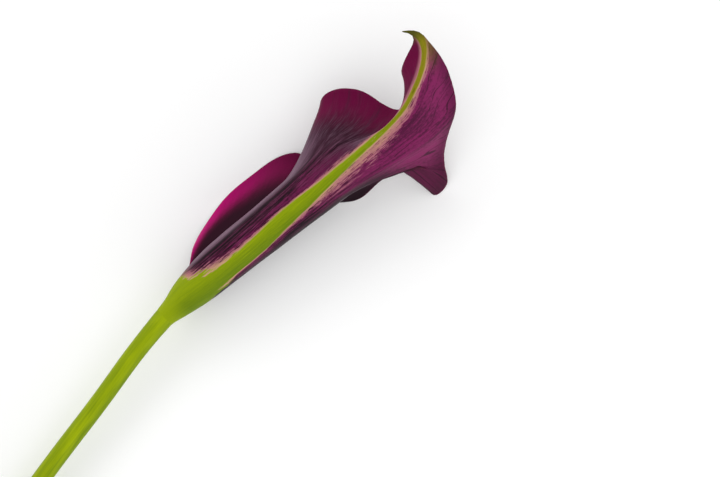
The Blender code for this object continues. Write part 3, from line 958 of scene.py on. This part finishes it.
        def grown(bead, chosen, material):
            scale = add("ShaderNodeCombineXYZ", None, {0: size, 1: size, 2: size}).outputs[0]
            copies = add("GeometryNodeInstanceOnPoints", None,
                         {"Points": placed, "Selection": chosen, "Instance": bead, "Rotation": facing,
                          "Scale": scale}).outputs[0]
            real = add("GeometryNodeRealizeInstances", None, {"Geometry": copies}).outputs[0]
            real = add("GeometryNodeSetShadeSmooth", None, {"Geometry": real}).outputs[0]
            return add("GeometryNodeSetMaterial", None, {"Geometry": real, "Material": material}).outputs[0]

        bead = add("GeometryNodeMeshUVSphere", None, {"Segments": 8, "Rings": 6, "Radius": 1.0}).outputs[0]
        tall = add("GeometryNodeTransform", None, {"Geometry": bead, "Scale": (1.15, 1.15, 1.2)}).outputs[0]
        blunt = add("GeometryNodeTransform", None, {"Geometry": bead, "Scale": (1.2, 0.85, 0.8)}).outputs[0]
        upper_part = add("FunctionNodeBooleanMath", {"operation": "NOT"}, {0: low}).outputs[0]
        joined = add("GeometryNodeJoinGeometry")
        for part in (rod, grown(tall, low, lower), grown(blunt, upper_part, upper)):
            tree.links.new(part, joined.inputs[0])
        out = tree.nodes.new("NodeGroupOutput")
        tree.links.new(joined.outputs[0], out.inputs[0])
        return tree


class CALLA_OT_studio(bpy.types.Operator):
    """Set a pale floor, soft light from all round and the camera that looks straight down"""

    bl_idname = "calla.studio"
    bl_label = "Studio"

    def execute(self, context):
        studio = context.scene.calla_studio
        scene = context.scene
        scene.view_settings.view_transform = "Standard"
        aim = finished((38.1, -19.7, 15.0))

        half = 3.0
        corners = [(-half, -half, 0.0), (half, -half, 0.0), (half, half, 0.0), (-half, half, 0.0)]
        mesh = new_mesh("floor", corners, [(0, 1, 2, 3)], smooth=False)
        floor = new_piece("studio_floor", mesh, floor_material(scene.calla_colours))

        lens = bpy.data.cameras.new("overhead")
        lens.sensor_width = 36.0
        lens.lens = studio.lens
        lens.clip_start = 0.01
        camera = new_object("overhead", lens)
        camera.matrix_world = (Matrix.Translation(Vector(aim) + Vector((0, 0, studio.height)))
                               @ Matrix.Rotation(studio.roll, 4, "Z"))
        scene.camera = camera

        self.sky(scene, studio)
        self.panel("left_panel", aim, Vector((0.10, 1.0, 0.0)), 34.0, 1.0, (1.0, 0.3), 1.4)
        self.panel("right_panel", aim, Vector((0.25, -1.0, 0.0)), 14.0, 0.8, (0.9, 0.2), 1.4)
        return {"FINISHED"}

    @staticmethod
    def sky(scene, studio):
        """Even light that is strongest near the horizon."""
        world = bpy.data.worlds.new("soft_surround")
        world.use_nodes = True
        scene.world = world
        nodes, links = world.node_tree.nodes, world.node_tree.links
        nodes.clear()
        place = nodes.new("ShaderNodeTexCoord")
        split = nodes.new("ShaderNodeSeparateXYZ")
        lift = nodes.new("ShaderNodeMapRange")
        lift.interpolation_type = "SMOOTHSTEP"
        span = {"From Min": 0.6, "From Max": 0.95, "To Min": studio.horizon, "To Max": studio.zenith}
        for name, value in span.items():
            lift.inputs[name].default_value = value
        glow = nodes.new("ShaderNodeBackground")
        output = nodes.new("ShaderNodeOutputWorld")
        links.new(place.outputs["Generated"], split.inputs[0])
        links.new(split.outputs["Z"], lift.inputs["Value"])
        links.new(lift.outputs["Result"], glow.inputs["Strength"])
        links.new(glow.outputs[0], output.inputs["Surface"])

    @staticmethod
    def panel(name, aim, side, elevation, distance, size, watts):
        """A soft rectangular light that looks at the flower."""
        light = bpy.data.lights.new(name, "AREA")
        light.shape = "RECTANGLE"
        light.size, light.size_y = size
        light.energy = watts
        lamp = new_object(name, light)
        lift = math.radians(elevation)
        away = side.normalized() * math.cos(lift) + Vector((0, 0, math.sin(lift)))
        lamp.location = Vector(aim) + away * distance
        lamp.rotation_euler = away.to_track_quat("Z", "Y").to_euler()


class CALLA_PT_panel(bpy.types.Panel):
    """Lists the pieces and their settings"""

    bl_idname = "CALLA_PT_panel"
    bl_label = "Calla Lily Flower"
    bl_space_type = "VIEW_3D"
    bl_region_type = "UI"
    bl_category = "Calla"

    def draw(self, context):
        for piece in PIECES:
            self.layout.operator(piece.bl_idname)
        for group in (context.scene.calla_sizes, context.scene.calla_studio, context.scene.calla_colours):
            box = self.layout.box()
            for name in group.__annotations__:
                box.prop(group, name)


PIECES = (CALLA_OT_spathe, CALLA_OT_stem, CALLA_OT_spadix, CALLA_OT_studio)
CLASSES = (CALLA_colours, CALLA_sizes, CALLA_studio, *PIECES, CALLA_PT_panel)


def register():
    for item in CLASSES:
        bpy.utils.register_class(item)
    bpy.types.Scene.calla_colours = PointerProperty(type=CALLA_colours)
    bpy.types.Scene.calla_sizes = PointerProperty(type=CALLA_sizes)
    bpy.types.Scene.calla_studio = PointerProperty(type=CALLA_studio)


def unregister():
    del bpy.types.Scene.calla_studio
    del bpy.types.Scene.calla_sizes
    del bpy.types.Scene.calla_colours
    for item in reversed(CLASSES):
        bpy.utils.unregister_class(item)


def main():
    register()
    bpy.ops.calla.spathe()
    bpy.ops.calla.stem()
    bpy.ops.calla.spadix()
    bpy.ops.calla.studio()


if __name__ == "__main__":
    main()
